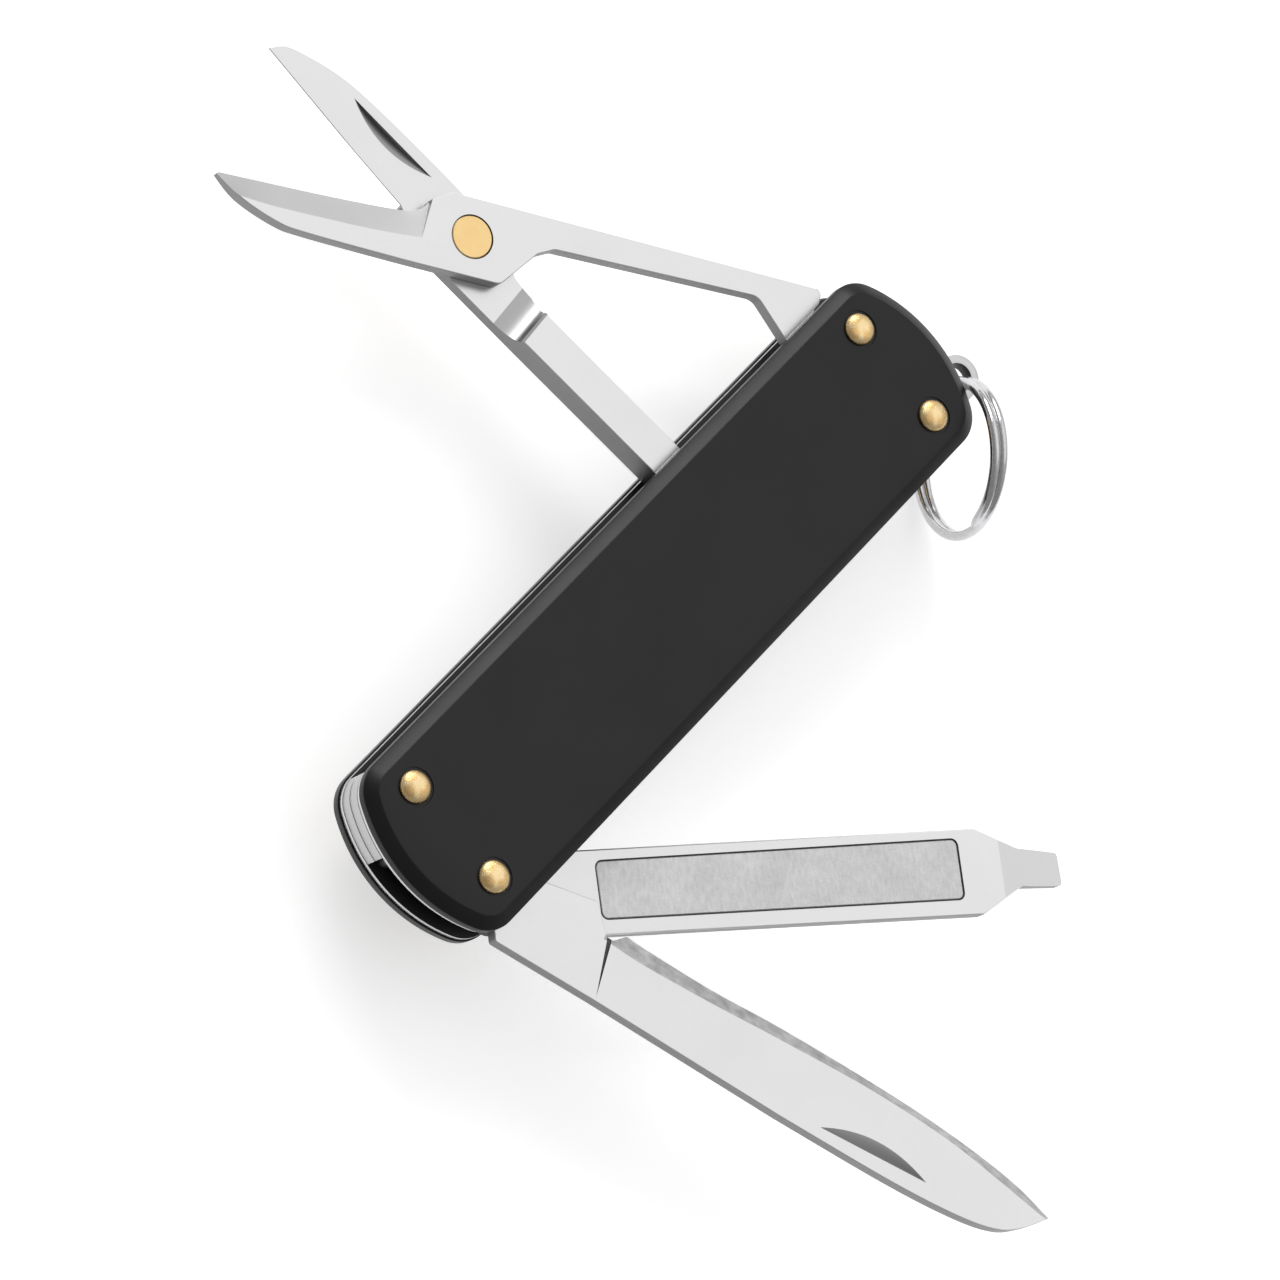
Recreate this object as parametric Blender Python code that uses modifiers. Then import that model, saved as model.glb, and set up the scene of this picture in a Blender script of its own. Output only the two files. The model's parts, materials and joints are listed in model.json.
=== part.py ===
"""Slim multi tool: knife blade, nail file with screwdriver tip and scissors between two black scales.

It lies on its back scale: +X runs along the handle to the key-ring end, +Y across it to the
scissors side, +Z out of the front scale. The origin is the centre of the back scale's outer face.
"""

import math

import bmesh
import bpy
from mathutils import Matrix, Vector

MM = 0.001

# ---- handle, millimetres ----
HALF_LENGTH = 32.4
HALF_WIDTH = 7.6
END_RADIUS = 12.7
CORNER_RADIUS = 2.9
CHAMFER_WIDTH = 1.0
CHAMFER_HEIGHT = 0.6
SCALE_THICKNESS = 1.35
LINER_THICKNESS = 0.5
LINER_INSET = 0.12
TOOL_THICKNESS = 1.15
STACK_GAP = 0.05
TOTAL_THICKNESS = 6.2
SEAM = 0.03

# ---- layers, heights above the back face ----
BACK_LINER_LOW = SCALE_THICKNESS + SEAM
LOWER_LOW = SCALE_THICKNESS + LINER_THICKNESS + STACK_GAP
LOWER_HIGH = LOWER_LOW + TOOL_THICKNESS
UPPER_HIGH = TOTAL_THICKNESS - LOWER_LOW
UPPER_LOW = UPPER_HIGH - TOOL_THICKNESS

# ---- rivets ----
RIVET_X = 27.25
RIVET_Y = 4.37
PIN_RADIUS = 0.9
HEAD_RADIUS = 1.35
HEAD_HEIGHT = 0.6
HEAD_FLAT = 0.35
HOLE_RADIUS = 0.95
SEAT_RADIUS = 1.5
SEAT_DEPTH = 0.08
HEAD_CLEARANCE = 0.02
HEAD_STEPS = 4
BUSH_RADIUS = 1.5
BUSH_CLEARANCE = 0.02
TANG_HOLE = 1.57

# ---- where the tools stand, degrees about +Z ----
BLADE_ANGLE = -71.0
FILE_ANGLE = -38.3
SCISSORS_ANGLE = 127.5
LEVER_OPENING = 32.4

# ---- grinds and cuts in the tools ----
GRIND_DEPTH = 0.5
GRIND_WIDTH = 1.7
HOLLOW_WIDTH = 2.6
LEVER_GRIND_DEPTH = 1.05
NICK_DEPTH = 0.35
PAD_DEPTH = 0.08
DRIVER_TAPER = 0.25
DRIVER_LENGTH = 4.5
CUT_OVERSHOOT = 1.0
WEDGE_OVERSHOOT = 1.5

# ---- scissors ----
SCISSOR_PIVOT = 32.05
SCISSOR_RIVET_RADIUS = 1.68
ARM_FIT = 0.03
LEVER_FIT = 0.06

# ---- key ring ----
LUG_X = 33.4
LUG_Y = -RIVET_Y
LUG_RADIUS = 1.8
LUG_HOLE = 1.12
RING_RADIUS = 5.95
WIRE_RADIUS = 0.4
RING_PITCH = 0.84
RING_TURNS = 1.9
RING_AZIMUTH = -131.5
RING_ELEVATION = -4.5
RING_OFFSET = 0.28
RING_STEPS_PER_TURN = 36
COIL_CROSSING = 6.0

ROUND_SIDES = 32
WELD = 0.000002


# ---------------------------------------------------------------- scene and materials

def clear_scene():
    for old in list(bpy.data.objects):
        bpy.data.objects.remove(old, do_unlink=True)


def new_collection(name):
    made = bpy.data.collections.new(name)
    bpy.context.scene.collection.children.link(made)
    return made


def material(name, colour, roughness, metallic):
    made = bpy.data.materials.new(name)
    made.use_nodes = True
    shader = made.node_tree.nodes["Principled BSDF"]
    shader.inputs["Base Color"].default_value = (*colour, 1.0)
    shader.inputs["Roughness"].default_value = roughness
    shader.inputs["Metallic"].default_value = metallic
    return made


# ---------------------------------------------------------------- outlines

def arc(centre, radius, start, end, steps):
    """Points round part of a circle, angles in degrees."""
    points = []
    for i in range(steps + 1):
        angle = math.radians(start + (end - start) * i / steps)
        points.append((centre[0] + radius * math.cos(angle), centre[1] + radius * math.sin(angle)))
    return points


def circle(centre, radius, sides=ROUND_SIDES):
    return arc(centre, radius, 0, 360, sides)[:-1]


def rounded(corners, steps=5):
    """Points from (x, y, corner radius) entries; a radius of 0 keeps the point sharp.

    Each corner is rounded between its two neighbours, the last and first being neighbours too.
    """
    outline = []
    count = len(corners)
    for i, (x, y, radius) in enumerate(corners):
        here = Vector((x, y))
        if radius == 0:
            outline.append((x, y))
            continue
        before = (Vector(corners[i - 1][:2]) - here).normalized()
        after = (Vector(corners[(i + 1) % count][:2]) - here).normalized()
        half = before.angle(after) / 2
        reach = radius / math.tan(half)
        centre = here + (before + after).normalized() * (radius / math.sin(half))
        start = here + before * reach - centre
        sweep = before.cross(after)
        turn = math.copysign(math.pi - 2 * half, -sweep)
        for k in range(steps + 1):
            spoke = start.copy()
            spoke.rotate(Matrix.Rotation(turn * k / steps, 2))
            outline.append(tuple(centre + spoke))
    return outline


def smooth(points, steps=5):
    """A Catmull-Rom curve through the points, end points included."""
    ends = [points[0]] + list(points) + [points[-1]]
    line = []
    for a, b, c, d in zip(ends, ends[1:], ends[2:], ends[3:]):
        for k in range(steps):
            t = k / steps
            line.append(tuple(
                0.5 * (2 * q + (r - p) * t + (2 * p - 5 * q + 4 * r - s) * t * t
                       + (3 * q - p - 3 * r + s) * t * t * t)
                for p, q, r, s in zip(a, b, c, d)))
    return line + [tuple(points[-1])]


def end_arcs():
    """Centre x of the +X end arc and of the corner arcs, their rise, and the angle where they meet."""
    arc_x = HALF_LENGTH - END_RADIUS
    rise = HALF_WIDTH - CORNER_RADIUS
    corner_x = arc_x + math.sqrt((END_RADIUS - CORNER_RADIUS) ** 2 - rise ** 2)
    return arc_x, corner_x, rise, math.degrees(math.atan2(rise, corner_x - arc_x))


def handle_outline(inset=0.0):
    """The handle's outline, moved inward by this much: two blunt ends, each a half turn."""
    arc_x, corner_x, rise, meet = end_arcs()
    lower = arc((corner_x, -rise), CORNER_RADIUS - inset, -90, -meet, 7)
    middle = arc((arc_x, 0), END_RADIUS - inset, -meet, meet, 18)
    upper = arc((corner_x, rise), CORNER_RADIUS - inset, meet, 90, 7)
    right = lower + middle[1:-1] + upper
    return right + [(-x, -y) for x, y in right]


# ---------------------------------------------------------------- solids

def as_mesh(curve_object, collection, paint):
    """The evaluated curve as a welded mesh object with the same name and place."""
    graph = bpy.context.evaluated_depsgraph_get()
    mesh = bpy.data.meshes.new_from_object(curve_object.evaluated_get(graph))
    name = curve_object.name
    place = curve_object.matrix_world.copy()
    bpy.data.objects.remove(curve_object, do_unlink=True)
    body = bmesh.new()
    body.from_mesh(mesh)
    bmesh.ops.remove_doubles(body, verts=body.verts, dist=WELD)
    bmesh.ops.recalc_face_normals(body, faces=body.faces)
    body.to_mesh(mesh)
    body.free()
    made = bpy.data.objects.new(name, mesh)
    made.matrix_world = place
    mesh.materials.clear()
    mesh.materials.append(paint)
    collection.objects.link(made)
    return made


def plate(name, outline, low, high, paint, collection, holes=()):
    """A flat piece between two heights: a filled 2D curve, holes given as (x, y, radius)."""
    curve = bpy.data.curves.new(name, "CURVE")
    curve.dimensions = "2D"
    curve.fill_mode = "BOTH"
    curve.extrude = (high - low) / 2 * MM
    loops = [outline] + [circle((x, y), radius) for x, y, radius in holes]
    for loop in loops:
        spline = curve.splines.new("POLY")
        spline.points.add(len(loop) - 1)
        for point, (x, y) in zip(spline.points, loop):
            point.co = (x * MM, y * MM, 0, 1)
        spline.use_cyclic_u = True
    made = bpy.data.objects.new(name, curve)
    collection.objects.link(made)
    bpy.context.view_layer.update()
    solid = as_mesh(made, collection, paint)
    solid.data.transform(Matrix.Translation((0, 0, (low + high) / 2 * MM)))
    return solid


def scale_plate(name, paint, collection):
    """A scale: the handle's outline with a chamfered outer edge, outer face at the top."""
    body = bmesh.new()
    side = SCALE_THICKNESS - CHAMFER_HEIGHT
    rim = [body.verts.new((x * MM, y * MM, 0)) for x, y in handle_outline()]
    face = body.faces.new(rim)
    raised = bmesh.ops.extrude_face_region(body, geom=[face])["geom"]
    moved = [item for item in raised if isinstance(item, bmesh.types.BMVert)]
    bmesh.ops.translate(body, verts=moved, vec=(0, 0, side * MM))
    top = next(item for item in raised if isinstance(item, bmesh.types.BMFace))
    face.normal_flip()
    bmesh.ops.inset_region(
        body, faces=[top], thickness=CHAMFER_WIDTH * MM, depth=CHAMFER_HEIGHT * MM,
        use_even_offset=True)
    bmesh.ops.recalc_face_normals(body, faces=body.faces)
    mesh = bpy.data.meshes.new(name)
    body.to_mesh(mesh)
    body.free()
    mesh.materials.append(paint)
    made = bpy.data.objects.new(name, mesh)
    collection.objects.link(made)
    return made


def turned(name, profile, paint, collection, x, y, sides=ROUND_SIDES):
    """A solid of revolution about +Z from (radius, height) points running top to bottom."""
    mesh = bpy.data.meshes.new(name)
    points = [(r * MM, 0, z * MM) for r, z in profile]
    links = [(i, i + 1) for i in range(len(points) - 1)]
    mesh.from_pydata(points, links, [])
    mesh.materials.append(paint)
    made = bpy.data.objects.new(name, mesh)
    made.location = (x * MM, y * MM, 0)
    collection.objects.link(made)
    screw = made.modifiers.new("turn", "SCREW")
    screw.axis = "Z"
    screw.steps = sides
    screw.render_steps = sides
    screw.use_merge_vertices = True
    screw.merge_threshold = WELD
    return made


def cut(target, cutter):
    step = target.modifiers.new(cutter.name, "BOOLEAN")
    step.operation = "DIFFERENCE"
    step.solver = "EXACT"
    step.object = cutter


def prism(name, outline, low, high, helpers, paint):
    """A cutter: a plate that is left out of the build."""
    made = plate(name, outline, low, high, paint, helpers)
    made.hide_render = True
    made.display_type = "WIRE"
    return made


def wedge(name, start, end, depth, slope_width, top, helpers, paint):
    """A grinding cutter: it takes off the face beyond the line start-end, deeper away from it."""
    body = bmesh.new()
    along = Vector((end[0] - start[0], end[1] - start[1])).normalized()
    across = Vector((-along.y, along.x)) * math.copysign(1, slope_width)
    width = abs(slope_width)
    reach = width + WEDGE_OVERSHOOT
    section = [(0, 0), (width, -depth), (reach, -depth), (reach, CUT_OVERSHOOT), (0, CUT_OVERSHOOT)]
    rings = []
    for base in (start, end):
        ring = []
        for out, rise in section:
            place = Vector(base) + across * out
            ring.append(body.verts.new((place.x * MM, place.y * MM, (top + rise) * MM)))
        rings.append(ring)
    count = len(section)
    for i in range(count):
        after = (i + 1) % count
        body.faces.new((rings[0][i], rings[0][after], rings[1][after], rings[1][i]))
    body.faces.new(rings[0])
    body.faces.new(rings[1])
    bmesh.ops.recalc_face_normals(body, faces=body.faces)
    mesh = bpy.data.meshes.new(name)
    body.to_mesh(mesh)
    body.free()
    mesh.materials.append(paint)
    made = bpy.data.objects.new(name, mesh)
    helpers.objects.link(made)
    made.hide_render = True
    made.display_type = "WIRE"
    return made


def underside(cutter, low):
    """Turns a grinding cutter over, so that it works on the face at this height from below."""
    cutter.data.transform(Matrix.Scale(-1, 4, (0, 0, 1)))
    cutter.data.transform(Matrix.Translation((0, 0, low * MM)))
    cutter.data.flip_normals()
    return cutter


def place(item, x, y, angle):
    item.location = (x * MM, y * MM, 0)
    item.rotation_euler = (0, 0, math.radians(angle))


# ---------------------------------------------------------------- handle

def make_scales(parts, helpers, black, helper_paint):
    """Both scales with their rivet holes and shallow rivet seats."""
    front = scale_plate("front_scale", black, parts)
    front.location.z = (TOTAL_THICKNESS - SCALE_THICKNESS) * MM
    back = scale_plate("back_scale", black, parts)
    back.rotation_euler = (math.pi, 0, 0)
    back.location.z = SCALE_THICKNESS * MM
    for i, (x, y) in enumerate(rivet_places()):
        below = -CUT_OVERSHOOT
        above = TOTAL_THICKNESS + CUT_OVERSHOOT
        seat = circle((x, y), SEAT_RADIUS)
        hole = prism(f"rivet_hole_{i}", circle((x, y), HOLE_RADIUS), below, above, helpers, helper_paint)
        low_seat = prism(f"low_seat_{i}", seat, below, SEAT_DEPTH, helpers, helper_paint)
        high_seat = prism(f"high_seat_{i}", seat, TOTAL_THICKNESS - SEAT_DEPTH, above, helpers,
                          helper_paint)
        for item in (hole, high_seat):
            cut(front, item)
        for item in (hole, low_seat):
            cut(back, item)


def rivet_places():
    return [(sx * RIVET_X, sy * RIVET_Y) for sx in (-1, 1) for sy in (-1, 1)]


def make_liners(parts, steel):
    holes = [(x, y, HOLE_RADIUS) for x, y in rivet_places()]
    outline = handle_outline(LINER_INSET)
    low = BACK_LINER_LOW
    high = SCALE_THICKNESS + LINER_THICKNESS
    plate("back_liner", outline, low, high, steel, parts, holes)
    plate("front_liner", outline, TOTAL_THICKNESS - high, TOTAL_THICKNESS - low, steel, parts, holes)


def make_rivets(parts, brass):
    """Four brass pins with a low dome peened on each end."""
    names = ("blade_rivet", "spring_rivet", "lug_rivet", "scissors_rivet_in_handle")
    top = TOTAL_THICKNESS + HEAD_HEIGHT
    seat = TOTAL_THICKNESS - SEAT_DEPTH + HEAD_CLEARANCE
    dome = []
    for k in range(HEAD_STEPS):
        angle = math.pi / 2 * k / HEAD_STEPS
        reach = HEAD_FLAT + (HEAD_RADIUS - HEAD_FLAT) * math.sin(angle)
        dome.append((reach, seat + (top - seat) * math.cos(angle)))
    upper = [(0, top)] + dome + [(HEAD_RADIUS, seat), (PIN_RADIUS, seat)]
    profile = upper + [(r, TOTAL_THICKNESS - z) for r, z in reversed(upper)]
    for name, (x, y) in zip(names, rivet_places()):
        turned(name, profile, brass, parts, x, y)


def make_bushes(parts, steel):
    """Bushes on the pivot rivets: the tools turn on them and they hold the liners apart."""
    for name, sign in (("blade_pivot_bush", -1), ("scissors_pivot_bush", 1)):
        low = SCALE_THICKNESS + LINER_THICKNESS + BUSH_CLEARANCE
        high = TOTAL_THICKNESS - low
        x = sign * RIVET_X
        y = sign * RIVET_Y
        plate(name, circle((x, y), BUSH_RADIUS), low, high, steel, parts, [(x, y, HOLE_RADIUS)])


def make_scissor_springs(parts, steel):
    """Two stacked back springs: they fill the left end above the blade and run along the middle."""
    arc_x, corner_x, rise, meet = end_arcs()
    end_radius = END_RADIUS - LINER_INSET
    corner_radius = CORNER_RADIUS - LINER_INSET
    outline = arc((-corner_x, rise), corner_radius, 96, 180 - meet, 6)
    outline += arc((-arc_x, 0), end_radius, 180 - meet, 170.2, 8)[1:]
    outline += rounded([
        (-32.1, 1.35, 0.55), (-30.6, 0.75, 0), (-27.0, -0.12, 0), (22.4, -0.12, 0.2),
        (22.4, 0.62, 0.2), (-18.5, 0.62, 0), (-22.2, 1.1, 0), (-24.9, 2.5, 0), (-25.95, 4.1, 0),
        (-26.2, 6.0, 0)])
    holes = [(-RIVET_X, RIVET_Y, HOLE_RADIUS)]
    plate("scissor_spring_lower", outline, LOWER_LOW, LOWER_HIGH, steel, parts, holes)
    plate("scissor_spring_upper", outline, UPPER_LOW, UPPER_HIGH, steel, parts, holes)


def make_tool_springs(parts, steel):
    """The springs of the blade and of the file; the file's also carries the key-ring lug."""
    arc_x, corner_x, rise, meet = end_arcs()
    end_radius = END_RADIUS - LINER_INSET
    corner_radius = CORNER_RADIUS - LINER_INSET
    leaf = rounded([
        (31.9, 0.9, 0), (29.0, -0.36, 0.5), (-16.4, -0.36, 0.2), (-16.4, -1.5, 0.2),
        (21.0, -1.5, 1.0), (25.6, -3.4, 0.6), (25.9, -7.48, 0)])
    corner = arc((corner_x, -rise), corner_radius, -90, -meet, 6)
    plain = corner + arc((arc_x, 0), end_radius, -meet, 4, 10)[1:] + leaf
    lug = rounded([
        (30.9, -6.1, 0), (31.5, -LUG_RADIUS + LUG_Y, 0.4), (LUG_X, -LUG_RADIUS + LUG_Y, 0)], 3)
    lug += arc((LUG_X, LUG_Y), LUG_RADIUS, -80, 80, 14)
    lug += rounded([
        (LUG_X, LUG_RADIUS + LUG_Y, 0), (32.3, LUG_RADIUS + LUG_Y, 0.4), (32.1, -2.1, 0)], 3)
    with_lug = corner + lug + arc((arc_x, 0), end_radius, -8, 4, 5) + leaf
    rivet = (RIVET_X, -RIVET_Y, HOLE_RADIUS)
    plate("blade_spring", plain, UPPER_LOW, UPPER_HIGH, steel, parts, [rivet])
    plate("file_spring_with_lug", with_lug, LOWER_LOW, LOWER_HIGH, steel, parts,
          [rivet, (LUG_X, LUG_Y, LUG_HOLE)])


# ---------------------------------------------------------------- tools

def make_blade(parts, helpers, steel, helper_paint):
    """Knife blade in the upper layer, with a ground edge and a half-moon nail nick."""
    tang = rounded([
        (10.6, 1.42, 0), (9.8, 2.3, 0), (8.9, 3.45, 0.35), (4.5, 2.6, 1.5), (-0.4, 3.5, 1.6),
        (-3.3, 2.0, 1.6), (-3.2, -1.8, 1.4), (2.2, -2.5, 0.4), (2.75, -3.45, 0.3), (11.6, -3.45, 0)])
    spine = smooth([
        (28.6, -3.74), (38.6, -3.66), (44.7, -3.28), (48.2, -2.6), (50.2, -1.4), (52.05, 0.5)])
    edge = smooth([
        (52.05, 0.5), (48.1, 1.6), (41.6, 2.33), (34.6, 2.58), (26.0, 2.52), (19.8, 2.26)])
    outline = tang + spine[:-1] + edge + [(13.6, 2.33), (12.4, 2.38), (11.8, 2.2), (11.2, 1.42)]
    blade = plate("knife_blade", outline, UPPER_LOW, UPPER_HIGH, steel, parts, [(0, 0, TANG_HOLE)])
    grind = ((12.6, 1.0), (46.0, 1.3), GRIND_DEPTH, GRIND_WIDTH)
    ground = wedge("blade_ground", *grind, UPPER_HIGH, helpers, helper_paint)
    ground_back = underside(wedge("blade_ground_back", *grind, 0, helpers, helper_paint), UPPER_LOW)
    nick = prism("blade_nick", nick_outline((31.9, -2.85), (41.5, -2.3), 1.1),
                 UPPER_HIGH - NICK_DEPTH, UPPER_HIGH + CUT_OVERSHOOT, helpers, helper_paint)
    for item in (ground, ground_back, nick):
        place(item, -RIVET_X, -RIVET_Y, BLADE_ANGLE)
        cut(blade, item)
    place(blade, -RIVET_X, -RIVET_Y, BLADE_ANGLE)


def nick_outline(start, end, bulge):
    """A half-moon between two points: straight on one side, an arc of this height on the other."""
    a = Vector(start)
    b = Vector(end)
    half = (b - a).length / 2
    radius = (half * half + bulge * bulge) / (2 * bulge)
    across = Vector((-(b - a).y, (b - a).x)).normalized()
    centre = (a + b) / 2 - across * (radius - bulge)
    first = math.degrees(math.atan2(*(a - centre).yx))
    last = math.degrees(math.atan2(*(b - centre).yx))
    return arc(centre, radius, first, last, 12)


def make_file(parts, helpers, steel, helper_paint):
    """Nail file in the lower layer: a recessed pad on each face and a flat screwdriver tip."""
    outline = rounded([
        (43.1, 2.35, 0.6), (7.5, 2.2, 1.0), (4.0, 3.4, 1.0), (-0.5, 3.5, 1.5), (-3.3, 2.0, 1.6),
        (-3.3, -1.6, 1.4), (0.8, -3.6, 1.2), (5.0, -4.2, 1.5), (42.9, -4.3, 0.6), (46.6, -2.3, 0.8),
        (50.3, -2.4, 0.3), (50.2, 0.15, 0.3), (46.7, 0.65, 0.8)])
    nail_file = plate("nail_file", outline, LOWER_LOW, LOWER_HIGH, steel, parts,
                      [(0, 0, TANG_HOLE)])
    pad = rounded([(10.3, 1.5, 0.6), (10.3, -3.15, 0.6), (41.4, -3.15, 0.6), (41.4, 1.65, 0.6)])
    recess = prism("pad_recess", pad, LOWER_HIGH - PAD_DEPTH, LOWER_HIGH + CUT_OVERSHOOT,
                   helpers, helper_paint)
    recess_back = prism("pad_recess_back", pad, LOWER_LOW - CUT_OVERSHOOT, LOWER_LOW + PAD_DEPTH,
                        helpers, helper_paint)
    thin = wedge("driver_taper", (45.5, 4), (45.5, -6), DRIVER_TAPER, DRIVER_LENGTH, LOWER_HIGH,
                 helpers, helper_paint)
    for item in (recess, recess_back, thin):
        place(item, -RIVET_X, -RIVET_Y, FILE_ANGLE)
        cut(nail_file, item)
    place(nail_file, -RIVET_X, -RIVET_Y, FILE_ANGLE)


def make_scissors(parts, helpers, steel, brass, helper_paint):
    """The fixed scissor arm, the lever that crosses under it, and the rivet that joins them."""
    cutting = smooth([(35.9, -1.6), (36.5, -1.15), (37.8, -0.82), (44.0, -0.4), (52.6, -0.05)])
    blade_back = smooth([(52.75, 0.1), (50.9, 1.62), (47.8, 2.78), (45.3, 3.06), (37.6, 3.16)])
    body = rounded([
        (36.0, 3.16, 0), (29.4, 3.1, 0.9), (26.6, 0.0, 0.5), (25.2, -0.7, 0.9), (7.9, -1.25, 1.2),
        (5.1, 1.7, 0.6), (3.2, 3.0, 0.8), (-0.4, 3.5, 2.0), (-3.4, 1.8, 1.8), (-3.4, -1.8, 1.8),
        (0.3, -3.1, 1.0), (2.1, -1.1, 0.4), (3.4, -0.75, 0.3), (2.6, -1.9, 0.3), (2.5, -3.1, 0.45),
        (34.0, -3.05, 0.6), (35.6, -2.1, 0.3), (35.8, -1.75, 0)])
    arm = plate("scissor_arm", cutting + blade_back + body, UPPER_LOW, UPPER_HIGH, steel, parts,
                [(0, 0, TANG_HOLE), (SCISSOR_PIVOT, 0, SCISSOR_RIVET_RADIUS + ARM_FIT)])
    hollow = wedge("arm_hollow", (36.2, 1.15), (55.0, 1.9), GRIND_DEPTH, -HOLLOW_WIDTH, UPPER_HIGH,
                   helpers, helper_paint)
    place(hollow, RIVET_X, RIVET_Y, SCISSORS_ANGLE)
    cut(arm, hollow)
    place(arm, RIVET_X, RIVET_Y, SCISSORS_ANGLE)

    back = smooth([(2.2, -2.76), (7.0, -2.84), (12.6, -2.74), (15.4, -2.42), (18.0, -1.69),
                   (19.6, -1.0), (20.45, 0.1)])
    rest = rounded([
        (11.1, 1.15, 0), (5.4, 1.67, 0.3), (2.5, 3.2, 1.0), (-7.9, 3.3, 0.5), (-24.0, 3.35, 0.4),
        (-24.0, 0.3, 0.4), (-8.5, 0.2, 0.15), (-7.9, 0.1, 0.2), (-6.6, -0.5, 0.5),
        (-4.7, -0.78, 0.8), (-1.2, -2.75, 1.2), (1.0, -2.8, 0)])
    lever = plate("scissor_lever", back + rest, LOWER_LOW, UPPER_HIGH, steel, parts,
                  [(0, 0, SCISSOR_RIVET_RADIUS + LEVER_FIT)])
    step = prism("lever_step", [(-7.9, -5), (-7.9, 6), (25, 6), (25, -5)], LOWER_HIGH,
                 UPPER_HIGH + CUT_OVERSHOOT, helpers, helper_paint)
    nick = prism("lever_nick", nick_outline((5.0, -1.87), (13.25, -2.0), 1.1),
                 LOWER_HIGH - NICK_DEPTH, LOWER_HIGH + CUT_OVERSHOOT, helpers, helper_paint)
    ground = underside(
        wedge("lever_ground", (5.6, 0.1), (22.0, -1.6), LEVER_GRIND_DEPTH, GRIND_WIDTH, 0, helpers,
              helper_paint), LOWER_LOW)
    turn = math.radians(SCISSORS_ANGLE)
    pivot_x = RIVET_X + SCISSOR_PIVOT * math.cos(turn)
    pivot_y = RIVET_Y + SCISSOR_PIVOT * math.sin(turn)
    for item in (step, nick, ground):
        place(item, pivot_x, pivot_y, SCISSORS_ANGLE - LEVER_OPENING)
        cut(lever, item)
    place(lever, pivot_x, pivot_y, SCISSORS_ANGLE - LEVER_OPENING)

    profile = [(0, UPPER_HIGH), (SCISSOR_RIVET_RADIUS, UPPER_HIGH),
               (SCISSOR_RIVET_RADIUS, LOWER_LOW), (0, LOWER_LOW)]
    turned("scissor_rivet", profile, brass, parts, pivot_x, pivot_y)


# ---------------------------------------------------------------- key ring

def make_key_ring(parts, chrome):
    """A split ring: nearly two turns of round wire, one beside the other."""
    curve = bpy.data.curves.new("key_ring", "CURVE")
    curve.dimensions = "3D"
    curve.bevel_depth = WIRE_RADIUS * MM
    curve.bevel_resolution = 2
    curve.use_fill_caps = True
    count = int(RING_STEPS_PER_TURN * RING_TURNS)
    spline = curve.splines.new("POLY")
    spline.points.add(count)
    for k in range(count + 1):
        along = k / count - 0.5
        turn = 2 * math.pi * RING_TURNS * along
        side = RING_PITCH * math.tanh(COIL_CROSSING * along) / 2
        spline.points[k].co = (
            RING_RADIUS * math.cos(turn) * MM, side * MM, RING_RADIUS * math.sin(turn) * MM, 1)
    ring = bpy.data.objects.new("key_ring", curve)
    parts.objects.link(ring)
    azimuth = math.radians(RING_AZIMUTH)
    elevation = math.radians(RING_ELEVATION)
    reach = (RING_RADIUS + RING_OFFSET) * math.cos(elevation)
    ring.rotation_euler = (0, 0, azimuth)
    ring.location = (
        (LUG_X + reach * math.cos(azimuth)) * MM,
        (LUG_Y + reach * math.sin(azimuth)) * MM,
        ((LOWER_LOW + LOWER_HIGH) / 2 + reach * math.tan(elevation)) * MM)
    curve.materials.append(chrome)
    bpy.context.view_layer.update()
    as_mesh(ring, parts, chrome)


def main():
    clear_scene()
    parts = new_collection("multi_tool")
    helpers = new_collection("cutters")
    black = material("anodised_black", (0.035, 0.035, 0.037), 0.5, 0.6)
    steel = material("satin_steel", (0.72, 0.72, 0.72), 0.3, 1.0)
    brass = material("brass", (0.78, 0.55, 0.25), 0.3, 1.0)
    chrome = material("chrome", (0.8, 0.8, 0.82), 0.1, 1.0)
    helper_paint = material("cutter", (1, 0, 0), 0.5, 0.0)
    make_scales(parts, helpers, black, helper_paint)
    make_liners(parts, steel)
    make_rivets(parts, brass)
    make_bushes(parts, steel)
    make_scissor_springs(parts, steel)
    make_tool_springs(parts, steel)
    make_blade(parts, helpers, steel, helper_paint)
    make_file(parts, helpers, steel, helper_paint)
    make_scissors(parts, helpers, steel, brass, helper_paint)
    make_key_ring(parts, chrome)
    for item in parts.objects:
        if item.type == "MESH" and item.data.polygons:
            item.data.shade_smooth()
            item.data.set_sharp_from_angle(angle=math.radians(30))


main()
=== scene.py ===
"""Looks of the slim key-ring multi tool: finished meshes, materials, light and camera.

Shapes are drawn in millimetres in each piece's own plane, then placed where the frame says.
A tool's plane has its origin on the tool's pivot and +X toward its tip.
"""

import json
import math

import bmesh
import bpy
from mathutils import Matrix, Vector, noise


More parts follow.
